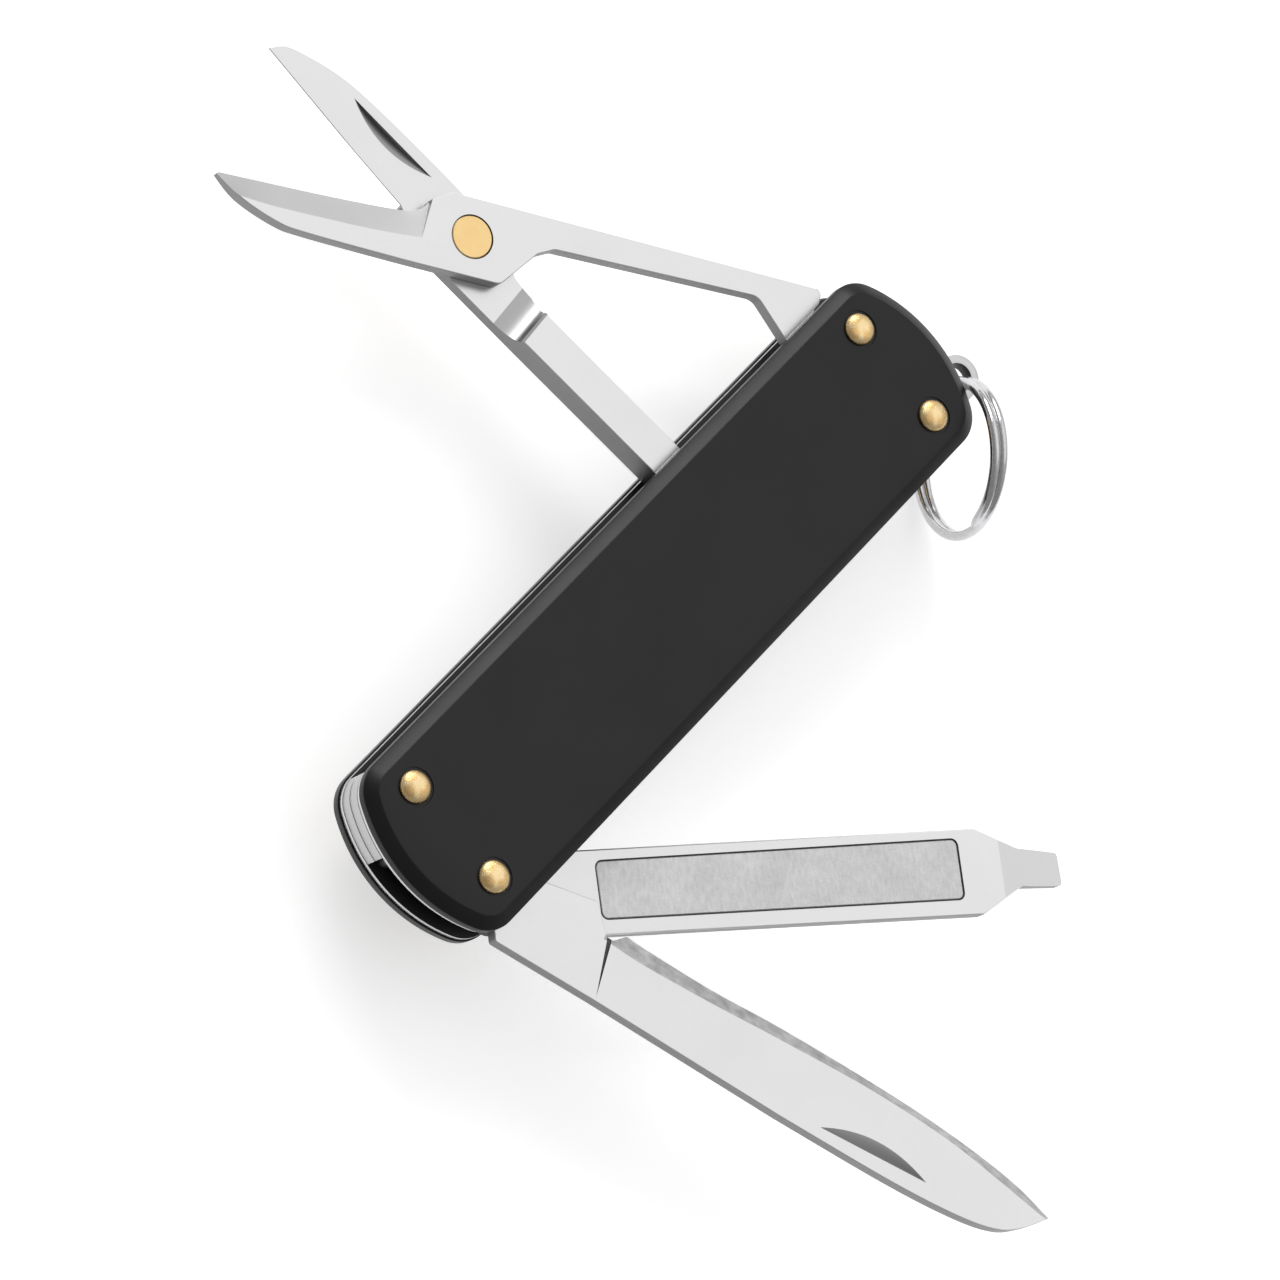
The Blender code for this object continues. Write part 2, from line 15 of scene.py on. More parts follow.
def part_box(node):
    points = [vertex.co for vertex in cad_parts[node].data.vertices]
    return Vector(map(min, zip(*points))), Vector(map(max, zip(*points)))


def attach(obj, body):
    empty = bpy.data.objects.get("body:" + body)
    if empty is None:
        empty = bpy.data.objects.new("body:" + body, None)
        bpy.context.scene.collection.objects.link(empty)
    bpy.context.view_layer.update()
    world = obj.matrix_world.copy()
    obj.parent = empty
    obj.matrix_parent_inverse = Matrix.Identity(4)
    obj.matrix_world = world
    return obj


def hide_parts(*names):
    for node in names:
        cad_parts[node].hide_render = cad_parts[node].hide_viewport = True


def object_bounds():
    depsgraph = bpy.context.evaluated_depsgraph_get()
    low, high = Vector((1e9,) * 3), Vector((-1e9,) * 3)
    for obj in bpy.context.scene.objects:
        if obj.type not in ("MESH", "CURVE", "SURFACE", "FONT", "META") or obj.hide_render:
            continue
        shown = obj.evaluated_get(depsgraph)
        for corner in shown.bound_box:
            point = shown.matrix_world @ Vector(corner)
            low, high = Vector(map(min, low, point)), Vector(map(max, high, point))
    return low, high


MM = 0.001

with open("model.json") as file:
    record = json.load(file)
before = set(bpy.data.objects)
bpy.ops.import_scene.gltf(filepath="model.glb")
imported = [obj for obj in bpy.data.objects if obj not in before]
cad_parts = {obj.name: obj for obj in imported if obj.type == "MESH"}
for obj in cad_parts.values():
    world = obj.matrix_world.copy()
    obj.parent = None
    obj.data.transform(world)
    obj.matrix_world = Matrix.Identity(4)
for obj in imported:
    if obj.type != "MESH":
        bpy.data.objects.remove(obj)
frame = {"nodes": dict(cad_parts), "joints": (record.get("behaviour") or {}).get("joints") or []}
cad_low, cad_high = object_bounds()
joints = {joint["name"]: joint for joint in frame["joints"]}


def span(node):
    """Lowest and highest corner of a CAD node, in millimetres."""
    low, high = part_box(node)
    return low / MM, high / MM


def pivot_of(joint):
    return Vector(joints[joint]["pos_m"]) / MM


# ---- the handle: its size from the frame, its roundings in millimetres ----
HANDLE_LOW, HANDLE_HIGH = span("front_scale")
BACK_LOW, BACK_HIGH = span("back_scale")
HALF_LENGTH = HANDLE_HIGH.x
HALF_WIDTH = HANDLE_HIGH.y
THICKNESS = HANDLE_HIGH.z
SCALE_THICKNESS = BACK_HIGH.z - BACK_LOW.z
END_RADIUS = 12.7
CORNER_RADIUS = 2.9
CHAMFER_WIDTH = 1.0
CHAMFER_HEIGHT = 0.6

# ---- the two tool layers, from the frame ----
LOWER_LOW = span("nail_file")[0].z
LOWER_HIGH = span("nail_file")[1].z
UPPER_LOW = span("knife_blade")[0].z
UPPER_HIGH = span("knife_blade")[1].z

# ---- rivets and their holes ----
RIVET_NODES = ("blade_rivet", "spring_rivet", "lug_rivet", "scissors_rivet_in_handle")
PIN_RADIUS = 0.9
HOLE_RADIUS = 0.95
SEAT_RADIUS = 1.5
SEAT_DEPTH = 0.08
TANG_HOLE = 1.57

# ---- how the tools stand, degrees ----
BLADE_ANGLE = -71.0
FILE_ANGLE = -38.3
SCISSORS_ANGLE = 127.5
LEVER_OPENING = 32.4
SCISSOR_PIVOT = 32.05

# ---- edges and grinds ----
NO_TANG = -99.0
EDGE_BREAK = 0.05
FILE_EDGE = 0.11
GRIND_SHARP = 12.0
GRIND_OVERSHOOT = 1.2
GRIND_LEAD_IN = 0.06
GRIND_ROWS = 8
CUTTER_SHARP = 20.0
CUT_CLEARANCE = 0.6
PLATE_EDGE = 0.045
BLADE_GRIND_DEPTH = 0.5
HOLLOW_DEPTH = 0.6
LEVER_GRIND_DEPTH = 1.05
NICK_DEPTH = 0.5
PAD_DEPTH = 0.03
GROOVE_WIDTH = 0.13
GROOVE_DEPTH = 0.14
DRIVER_TAPER = 0.22

# ---- which faces of the plates get painted shade ----
LUG_HOLE_REACH = 1.3
OUTER_PLATES = 1.22

# ---- key ring ----
RING_RADIUS = 5.95
WIRE_RADIUS = 0.4
RING_PITCH = 0.84
RING_TURNS = 1.9
RING_AZIMUTH = -131.5
RING_ELEVATION = -4.5
RING_OFFSET = 0.28

# ---- camera ----
CAMERA_AIM = Vector((-3.85, -0.45, 4.0))
CAMERA_DISTANCE = 510.1
CAMERA_AZIMUTH = 162.1
CAMERA_ELEVATION = 58.75
CAMERA_ROLL = 64.56
CAMERA_LENS = 193.7


# ---------------------------------------------------------------- camera, floor and light

def polar(azimuth, elevation):
    """A unit vector; azimuth is counted from +X toward +Y, in degrees."""
    a = math.radians(azimuth)
    e = math.radians(elevation)
    return Vector((math.cos(a) * math.cos(e), math.sin(a) * math.cos(e), math.sin(e)))


def make_camera():
    toward = polar(CAMERA_AZIMUTH, CAMERA_ELEVATION)
    level = Vector((0, 0, 1)).cross(toward).normalized()
    upright = toward.cross(level)
    turn = math.radians(CAMERA_ROLL)
    right = level * math.cos(turn) + upright * math.sin(turn)
    up = upright * math.cos(turn) - level * math.sin(turn)
    data = bpy.data.cameras.new("camera")
    data.lens = CAMERA_LENS
    data.sensor_width = 36.0
    data.clip_start = 0.01
    data.clip_end = 20.0
    camera = bpy.data.objects.new("camera", data)
    bpy.context.scene.collection.objects.link(camera)
    axes = Matrix((right, up, toward)).transposed().to_4x4()
    eye = (CAMERA_AIM + toward * CAMERA_DISTANCE) * MM
    camera.matrix_world = Matrix.Translation(eye) @ axes
    bpy.context.scene.camera = camera


def softbox(name, azimuth, elevation, distance, size, radiance):
    """A square white area light that looks at the object and shines with this radiance."""
    data = bpy.data.lights.new(name, "AREA")
    data.shape = "SQUARE"
    data.size = size
    data.energy = radiance * math.pi * size * size
    light = bpy.data.objects.new(name, data)
    away = polar(azimuth, elevation)
    light.location = away * distance
    light.rotation_mode = "QUATERNION"
    light.rotation_quaternion = away.to_track_quat("Z", "Y")
    bpy.context.scene.collection.objects.link(light)


def make_world():
    """A soft grey studio, brightest high up past the key-ring end of the handle."""
    world = bpy.data.worlds.new("studio")
    world.use_nodes = True
    bpy.context.scene.world = world
    tree = world.node_tree
    background = tree.nodes["Background"]
    background.inputs["Color"].default_value = (1, 1, 1, 1)
    coordinates = tree.nodes.new("ShaderNodeTexCoord")
    facing = tree.nodes.new("ShaderNodeVectorMath")
    facing.operation = "DOT_PRODUCT"
    facing.inputs[1].default_value = polar(-5, 40)
    ramp = tree.nodes.new("ShaderNodeMapRange")
    ramp.inputs["From Min"].default_value = 0.1
    ramp.inputs["From Max"].default_value = 1.0
    ramp.inputs["To Min"].default_value = 0.28
    ramp.inputs["To Max"].default_value = 0.65
    tree.links.new(coordinates.outputs["Generated"], facing.inputs[0])
    tree.links.new(facing.outputs["Value"], ramp.inputs["Value"])
    tree.links.new(ramp.outputs["Result"], background.inputs["Strength"])


def make_floor():
    """A wide pale floor just under the lowest point of the key ring."""
    mesh = bpy.data.meshes.new("floor")
    half = 3.0
    height = cad_low.z - 0.0002
    corners = [(-half, -half, height), (half, -half, height), (half, half, height), (-half, half, height)]
    mesh.from_pydata(corners, [], [(0, 1, 2, 3)])
    floor = bpy.data.objects.new("floor", mesh)
    bpy.context.scene.collection.objects.link(floor)
    paint, shader, tree = new_material("floor_paper", (0.93, 0.93, 0.93), 0.9, 0.0)
    shader.inputs["Emission Color"].default_value = (1, 1, 1, 1)
    shader.inputs["Emission Strength"].default_value = 0.5
    shader.inputs["Specular IOR Level"].default_value = 0.1
    tint = noise_colour(tree, 2.0, (1, 1, 1), (0.93, 0.93, 0.93), (0.935, 0.935, 0.935))
    tree.links.new(tint, shader.inputs["Base Color"])
    mesh.materials.append(paint)


# ---------------------------------------------------------------- materials

def new_material(name, colour, roughness, metallic):
    paint = bpy.data.materials.new(name)
    paint.use_nodes = True
    shader = paint.node_tree.nodes["Principled BSDF"]
    shader.inputs["Base Color"].default_value = (*colour, 1.0)
    shader.inputs["Roughness"].default_value = roughness
    shader.inputs["Metallic"].default_value = metallic
    return paint, shader, paint.node_tree


def noise_factor(tree, size, stretch, detail=4.0):
    """Noise from 0 to 1 whose grains are about this many millimetres, stretched along the axes."""
    coordinates = tree.nodes.new("ShaderNodeTexCoord")
    mapping = tree.nodes.new("ShaderNodeMapping")
    mapping.inputs["Scale"].default_value = [1.0 / (size * MM * factor) for factor in stretch]
    grain = tree.nodes.new("ShaderNodeTexNoise")
    grain.inputs["Scale"].default_value = 1.0
    grain.inputs["Detail"].default_value = detail
    tree.links.new(coordinates.outputs["Object"], mapping.inputs["Vector"])
    tree.links.new(mapping.outputs["Vector"], grain.inputs["Vector"])
    return grain.outputs["Fac"]


def spread(tree, factor, low, high, start=0.3, end=0.7):
    """The noise between start and end mapped to the values low to high."""
    ramp = tree.nodes.new("ShaderNodeMapRange")
    ramp.inputs["From Min"].default_value = start
    ramp.inputs["From Max"].default_value = end
    ramp.inputs["To Min"].default_value = low
    ramp.inputs["To Max"].default_value = high
    tree.links.new(factor, ramp.inputs["Value"])
    return ramp.outputs["Result"]


def blend_colours(tree, factor, first, second, start=0.3, end=0.7):
    mix = tree.nodes.new("ShaderNodeMix")
    mix.data_type = "RGBA"
    mix.inputs["A"].default_value = (*first, 1.0)
    mix.inputs["B"].default_value = (*second, 1.0)
    tree.links.new(spread(tree, factor, 0.0, 1.0, start, end), mix.inputs["Factor"])
    return mix.outputs["Result"]


def noise_colour(tree, size, stretch, first, second):
    return blend_colours(tree, noise_factor(tree, size, stretch), first, second)


def add_bump(tree, shader, heights, depth):
    """Bumps of this many millimetres from one or more noise outputs, stacked."""
    normal = None
    for height in heights:
        bump = tree.nodes.new("ShaderNodeBump")
        bump.inputs["Strength"].default_value = 1.0
        bump.inputs["Distance"].default_value = depth * MM
        tree.links.new(height, bump.inputs["Height"])
        if normal is not None:
            tree.links.new(normal, bump.inputs["Normal"])
        normal = bump.outputs["Normal"]
    tree.links.new(normal, shader.inputs["Normal"])


def anodised_black():
    """Fine bead-blasted anodising with a slight mottle in its sheen."""
    paint, shader, tree = new_material("anodised_black", (0.036, 0.036, 0.037), 0.38, 1.0)
    blast = noise_factor(tree, 0.09, (1, 1, 1), 2.0)
    cloud = noise_factor(tree, 6.0, (1, 1, 1), 3.0)
    tone = blend_colours(tree, cloud, (0.034, 0.034, 0.035), (0.038, 0.038, 0.039))
    tree.links.new(tone, shader.inputs["Base Color"])
    tree.links.new(spread(tree, cloud, 0.36, 0.42), shader.inputs["Roughness"])
    add_bump(tree, shader, [blast], 0.006)
    return paint


def satin_steel(name, colour, roughness, grain_direction, grain_depth):
    """Steel with fine lapped grain along one axis and soft variation in its gloss."""
    paint, shader, tree = new_material(name, colour, roughness, 1.0)
    grain = noise_factor(tree, 0.05, grain_direction, 5.0)
    cloud = noise_factor(tree, 7.0, (1, 1, 1), 3.0)
    darker = tuple(0.965 * part for part in colour)
    tree.links.new(blend_colours(tree, grain, darker, colour), shader.inputs["Base Color"])
    tree.links.new(spread(tree, cloud, roughness - 0.03, roughness + 0.04), shader.inputs["Roughness"])
    add_bump(tree, shader, [grain], grain_depth)
    return paint


def ground_steel():
    """The honed bevel of the blade: short scratches square to the edge over a matte ground."""
    paint, shader, tree = new_material("honed_bevel", (0.6, 0.6, 0.6), 0.45, 1.0)
    scratch = noise_factor(tree, 0.05, (1, 9, 9), 4.0)
    patch = noise_factor(tree, 0.7, (1.4, 1, 1), 3.0)
    tree.links.new(blend_colours(tree, patch, (0.42, 0.42, 0.42), (0.66, 0.66, 0.66)),
                   shader.inputs["Base Color"])
    tree.links.new(spread(tree, scratch, 0.38, 0.55), shader.inputs["Roughness"])
    add_bump(tree, shader, [scratch, patch], 0.012)
    return paint


def file_grit():
    """The abrasive pad: hard grit with faint streaks across the file."""
    paint, shader, tree = new_material("file_grit", (0.6, 0.6, 0.6), 0.62, 0.75)
    grit = noise_factor(tree, 0.11, (1, 1, 1), 3.0)
    streak = noise_factor(tree, 0.3, (1, 2.5, 1), 4.0)
    cloud = noise_factor(tree, 3.0, (1, 1, 1), 2.0)
    tone = blend_colours(tree, streak, (0.73, 0.73, 0.73), (0.84, 0.84, 0.84))
    tree.links.new(tone, shader.inputs["Base Color"])
    tree.links.new(spread(tree, cloud, 0.52, 0.7), shader.inputs["Roughness"])
    add_bump(tree, shader, [grit, streak], 0.03)
    return paint


def dark_groove():
    """Painted shade for the bottom and walls of a cut groove or narrow gap."""
    paint, shader, tree = new_material("groove_shadow", (0.09, 0.09, 0.09), 0.6, 0.5)
    tree.links.new(noise_colour(tree, 0.2, (1, 1, 1), (0.06, 0.06, 0.06), (0.13, 0.13, 0.13)),
                   shader.inputs["Base Color"])
    return paint


def peened_brass(name, colour, deeper, roughness, depth):
    """Warm brass, a little redder and duller in its hollows."""
    paint, shader, tree = new_material(name, colour, roughness, 1.0)
    dent = noise_factor(tree, 0.8, (1, 1, 1), 2.0)
    fine = noise_factor(tree, 0.06, (1, 1, 1), 3.0)
    tree.links.new(blend_colours(tree, dent, deeper, colour, 0.35, 0.6), shader.inputs["Base Color"])
    tree.links.new(spread(tree, fine, roughness - 0.05, roughness + 0.08), shader.inputs["Roughness"])
    add_bump(tree, shader, [dent, fine], depth)
    return paint


def polished_wire():
    """Bright nickel-plated wire with fine drawing marks."""
    paint, shader, tree = new_material("polished_wire", (0.65, 0.65, 0.66), 0.16, 1.0)
    mark = noise_factor(tree, 0.08, (3, 3, 3), 4.0)
    tree.links.new(spread(tree, mark, 0.12, 0.24), shader.inputs["Roughness"])
    tree.links.new(blend_colours(tree, mark, (0.60, 0.60, 0.61), (0.70, 0.70, 0.71)),
                   shader.inputs["Base Color"])
    add_bump(tree, shader, [mark], 0.002)
    return paint


# ---------------------------------------------------------------- outlines, millimetres

def arc(centre, radius, start, end, steps):
    """Points round part of a circle, angles in degrees."""
    points = []
    for i in range(steps + 1):
        angle = math.radians(start + (end - start) * i / steps)
        points.append((centre[0] + radius * math.cos(angle), centre[1] + radius * math.sin(angle)))
    return points


def circle(centre, radius, sides=64):
    return arc(centre, radius, 0, 360, sides)[:-1]


def rounded(corners, steps=8):
    """Points from (x, y, corner radius) entries; a radius of 0 keeps the point sharp."""
    outline = []
    count = len(corners)
    for i, (x, y, radius) in enumerate(corners):
        here = Vector((x, y))
        if radius == 0:
            outline.append((x, y))
            continue
        before = (Vector(corners[i - 1][:2]) - here).normalized()
        after = (Vector(corners[(i + 1) % count][:2]) - here).normalized()
        half = before.angle(after) / 2
        reach = radius / math.tan(half)
        centre = here + (before + after).normalized() * (radius / math.sin(half))
        start = here + before * reach - centre
        turn = math.copysign(math.pi - 2 * half, -before.cross(after))
        for k in range(steps + 1):
            spoke = start.copy()
            spoke.rotate(Matrix.Rotation(turn * k / steps, 2))
            outline.append(tuple(centre + spoke))
    return outline


def smooth(points, steps=10):
    """A Catmull-Rom curve through the points, end points included."""
    ends = [points[0]] + list(points) + [points[-1]]
    line = []
    for a, b, c, d in zip(ends, ends[1:], ends[2:], ends[3:]):
        for k in range(steps):
            t = k / steps
            line.append(tuple(
                0.5 * (2 * q + (r - p) * t + (2 * p - 5 * q + 4 * r - s) * t * t
                       + (3 * q - p - 3 * r + s) * t * t * t)
                for p, q, r, s in zip(a, b, c, d)))
    return line + [tuple(points[-1])]


def handle_outline(inset=0.0):
    """The handle's outline, every loop with the same number of points."""
    arc_x = HALF_LENGTH - END_RADIUS
    rise = HALF_WIDTH - CORNER_RADIUS
    corner_x = arc_x + math.sqrt((END_RADIUS - CORNER_RADIUS) ** 2 - rise ** 2)
    meet = math.degrees(math.atan2(rise, corner_x - arc_x))
    lower = arc((corner_x, -rise), CORNER_RADIUS - inset, -90, -meet, 14)
    middle = arc((arc_x, 0), END_RADIUS - inset, -meet, meet, 36)
    upper = arc((corner_x, rise), CORNER_RADIUS - inset, meet, 90, 14)
    right = lower + middle[1:-1] + upper
    return right + [(-x, -y) for x, y in right]


def inset_points(outline, widths):
    """Each point of the closed outline moved inward by its own width."""
    moved = []
    count = len(outline)
    for i, width in enumerate(widths):
        here = Vector(outline[i])
        arriving = (here - Vector(outline[i - 1])).normalized()
        leaving = (Vector(outline[(i + 1) % count]) - here).normalized()
        inward = Vector((-arriving.y - leaving.y, arriving.x + leaving.x)).normalized()
        slant = max(0.5, inward.dot(Vector((-arriving.y, arriving.x))))
        moved.append(tuple(here + inward * (width / slant)))
    return moved


# ---------------------------------------------------------------- solids

def finish_mesh(name, body, paints, sharp=32.0):
    """A shaded object from a bmesh in millimetres."""
    bmesh.ops.scale(body, vec=(MM, MM, MM), verts=body.verts)
    bmesh.ops.recalc_face_normals(body, faces=body.faces)
    mesh = bpy.data.meshes.new(name)
    body.to_mesh(mesh)
    body.free()
    for paint in paints:
        mesh.materials.append(paint)
    mesh.shade_smooth()
    mesh.set_sharp_from_angle(angle=math.radians(sharp))
    made = bpy.data.objects.new(name, mesh)
    bpy.context.scene.collection.objects.link(made)
    return made


def loft(loops, paint_of_band=None):
    """A closed skin through stacked loops of (x, y, z) points, each end closed with one face."""
    body = bmesh.new()
    rows = [[body.verts.new(point) for point in loop] for loop in loops]
    count = len(rows[0])
    for level, (below, above) in enumerate(zip(rows, rows[1:])):
        for i in range(count):
            after = (i + 1) % count
            face = body.faces.new((below[i], below[after], above[after], above[i]))
            if paint_of_band:
                face.material_index = paint_of_band(level, i)
    body.faces.new(rows[0])
    body.faces.new(rows[-1])
    return body


def at_height(outline, z):
    return [(x, y, z) for x, y in outline]


def bevelled_plate(name, outline, low, high, paints, edge=EDGE_BREAK, tang=NO_TANG):
    """A flat piece with broken edges; its paints are for faces, walls, and painted shade on walls up to x
    = tang.
    """
    inner = inset_points(outline, [edge] * len(outline))
    loops = [at_height(inner, low), at_height(outline, low + edge),
             at_height(outline, high - edge), at_height(inner, high)]

    def paint_of(level, i):
        # Walls up to x = tang, where the tool sits inside the handle, get painted shade.
        if outline[i][0] < tang:
            return 2
        return 1 if level == 1 else 0

    return finish_mesh(name, loft(loops, paint_of), paints)


def cut(target, cutter):
    """Takes the cutter away from the target for good; cut faces keep the cutter's paint."""
    step = target.modifiers.new("cut", "BOOLEAN")
    step.operation = "DIFFERENCE"
    step.solver = "EXACT"
    step.material_mode = "TRANSFER"
    step.object = cutter
    bpy.context.view_layer.update()
    graph = bpy.context.evaluated_depsgraph_get()
    mesh = bpy.data.meshes.new_from_object(target.evaluated_get(graph))
    target.modifiers.clear()
    target.data = mesh
    bpy.data.objects.remove(cutter, do_unlink=True)


def cut_prism(target, outline, low, high, paint):
    loops = [at_height(outline, low), at_height(outline, high)]
    cut(target, finish_mesh("cutter", loft(loops), [paint]))


def cut_round_hole(target, x, y, radius, paint):
    """A hole right through the piece."""
    cut_prism(target, circle((x, y), radius), -2.0, 10.0, paint)


def settle(made, sharp=32.0):
    """Cleans a cut mesh and sets its shading again."""
    body = bmesh.new()
    body.from_mesh(made.data)
    bmesh.ops.remove_doubles(body, verts=body.verts, dist=0.0000005)
    bmesh.ops.dissolve_degenerate(body, edges=body.edges, dist=0.0000005)
    body.to_mesh(made.data)
    body.free()
    made.data.shade_smooth()
    made.data.set_sharp_from_angle(angle=math.radians(sharp))


def stand(made, origin, angle, body, slot, *nodes):
    """Places a piece drawn in its own plane and hands it to its body."""
    made.location = (origin[0] * MM, origin[1] * MM, 0)
    made.rotation_euler = (0, 0, math.radians(angle))
    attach(made, body)
    if nodes:
        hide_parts(*nodes)


def moon_cutter(start, end, bulge, top, depth, paint):
    """A half-moon scoop: a wall along start-end, sloping up to an arc on the left of that line."""
    a = Vector(start)
    b = Vector(end)
    across = Vector((-(b - a).y, (b - a).x)).normalized()
    steps = 28
    rows = 6
    clear = top + CUT_CLEARANCE
    body = bmesh.new()
    grid = []
    for i in range(steps + 1):
        u = i / steps
        rise = 4 * u * (1 - u)
        chord = a.lerp(b, u)
        reach = bulge * rise + 0.004
        line = []
        for k in range(rows + 1):
            s = -0.12 + 1.12 * k / rows
            place = chord + across * (reach * (1 - s))
            sink = (depth * (0.6 + 0.6 * u) * rise ** 0.8 + 0.01) * s ** 1.3 if s > 0 else 0.3 * s
            line.append(body.verts.new((place.x, place.y, top - sink)))
        grid.append(line)
    lid = [[body.verts.new((line[k].co.x, line[k].co.y, clear)) for k in (0, rows)] for line in grid]
    for i in range(steps):
        for k in range(rows):
            body.faces.new((grid[i][k], grid[i + 1][k], grid[i + 1][k + 1], grid[i][k + 1]))
        body.faces.new((grid[i][0], lid[i][0], lid[i + 1][0], grid[i + 1][0]))
        body.faces.new((grid[i][rows], grid[i + 1][rows], lid[i + 1][1], lid[i][1]))
        body.faces.new((lid[i][0], lid[i][1], lid[i + 1][1], lid[i + 1][0]))
    for i in (0, steps):
        body.faces.new([lid[i][0], *grid[i], lid[i][1]])
    return finish_mesh("cutter", body, [paint])


def slope_cutter(near, far, surface, depth, paints, sign=1):
    """A grind from the near line, on the surface, down to this depth at the far line.

    The two lines have the same number of points. Paints are for the slope and for the walls that
    close its ends. Sign is 1 for an upper face and -1 for a lower one.
    """
    clear = surface + sign * CUT_CLEARANCE
    floor = surface - sign * depth
    shares = [-GRIND_LEAD_IN + (1 + GRIND_LEAD_IN) * k / GRIND_ROWS for k in range(GRIND_ROWS + 1)]
    body = bmesh.new()
    slices = []
    for near_point, far_point in zip(near, far):
        here = Vector(near_point)
        there = Vector(far_point)
        slope = [(here.lerp(there, share), surface - sign * depth * share) for share in shares]
        start = slope[0][0]
        outer = there + (there - here).normalized() * GRIND_OVERSHOOT
        section = [*slope, (outer, floor), (outer, clear), (start, clear)]
        slices.append([body.verts.new((place.x, place.y, z)) for place, z in section])
    count = len(slices[0])
    for before, after in zip(slices, slices[1:]):
        for i in range(count):
            k = (i + 1) % count
            body.faces.new((before[i], before[k], after[k], after[i]))
    for end in (body.faces.new(slices[0]), body.faces.new(slices[-1])):
        end.material_index = 1
    return finish_mesh("cutter", body, paints, CUTTER_SHARP)


def profile_cutter(profile, low_y, high_y, floor_paint, ramp_paint):
    """A cutter with this (x, z) outline, stretched across the piece; its second edge is the floor."""
    loops = [[(x, y, z) for x, z in profile] for y in (low_y, high_y)]
    body = loft(loops, lambda level, i: 0 if i == 1 else 1)
    return finish_mesh("cutter", body, [floor_paint, ramp_paint])


# ---------------------------------------------------------------- handle

def make_scale(name, paint, upside_down):
    """A scale with a softly broken chamfer, rivet holes and shallow seats."""
    wall = SCALE_THICKNESS - CHAMFER_HEIGHT
    slope = CHAMFER_HEIGHT / CHAMFER_WIDTH
    section = [
        (0.04, 0.0), (0.0, 0.04), (0.0, wall - 0.05), (0.012, wall - 0.012), (0.05, wall + 0.05 * slope),
        (CHAMFER_WIDTH - 0.07, SCALE_THICKNESS - 0.07 * slope),
        (CHAMFER_WIDTH - 0.015, SCALE_THICKNESS - 0.014), (CHAMFER_WIDTH + 0.06, SCALE_THICKNESS)]
    loops = [at_height(handle_outline(inset), z) for inset, z in section]
    made = finish_mesh(name, loft(loops), [paint])
    for x, y in rivet_centres():
        cut_round_hole(made, x, y, HOLE_RADIUS, paint)
        cut_prism(made, circle((x, y), SEAT_RADIUS), SCALE_THICKNESS - SEAT_DEPTH, 4, paint)
    settle(made)
    if upside_down:
        made.data.transform(Matrix.Rotation(math.pi, 4, "X"))
        made.location.z = BACK_HIGH.z * MM
    else:
        made.location.z = HANDLE_LOW.z * MM
    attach(made, "handle")
    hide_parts(name)


def rivet_centres():
    centres = []
    for node in RIVET_NODES:
        low, high = span(node)
        centres.append(((low.x + high.x) / 2, (low.y + high.y) / 2))
    return centres


def make_rivets(paint):
    """Pins with a low dome at each end, each dome worked by hand into its own slight facets."""
    for number, (node, (x, y)) in enumerate(zip(RIVET_NODES, rivet_centres())):
        low, high = span(node)
        head_radius = (high.x - low.x) / 2 - 0.08
        seat = THICKNESS - SEAT_DEPTH + 0.02
        height = high.z - 0.015 - seat
        steps = 10
        half = [(PIN_RADIUS, seat - 0.01), (head_radius - 0.06, seat), (head_radius - 0.01, seat + 0.03)]
        for k in range(1, steps):
            angle = math.pi / 2 * k / steps
            rise = 0.03 + (height - 0.03) * math.sin(angle)
            half.append((head_radius * math.cos(angle) ** 0.8, seat + rise))
        middle = THICKNESS / 2
        section = [(r, 2 * middle - z) for r, z in reversed(half)] + half
        loops = [at_height(circle((0, 0), radius, 48), z) for radius, z in section]
        body = loft(loops)
        for vertex in body.verts:
            worked = max(0.0, abs(vertex.co.z - middle) - (seat + 0.05 - middle))
            dent = noise.noise(vertex.co * 0.95 + Vector((7.3 * number, 1.7, 0)))
            vertex.co.z -= math.copysign(worked * 0.16 * max(0.0, dent + 0.15), vertex.co.z - middle)
        made = finish_mesh(node, body, [paint], 50)
        stand(made, (x, y), 0, "handle", "brass", node)


def looks_inward(centre, normal):
    """Whether a face lies in the gaps between the scales, or in the lug's hole; such faces get painted
    shade.
    """
    lug = pivot_of("ring_swing")
    if abs(normal.z) < 0.5 and math.dist(centre[:2], lug[:2]) < LUG_HOLE_REACH:
        return True
    toward_middle = THICKNESS / 2 - centre.z
    if abs(normal.z) > 0.5:
        return abs(toward_middle) > OUTER_PLATES and normal.z * toward_middle > 0
    end = HALF_LENGTH - END_RADIUS + math.sqrt((END_RADIUS - 0.5) ** 2 - centre.y ** 2)
    return abs(centre.x) < end and abs(centre.y) < HALF_WIDTH - 0.6


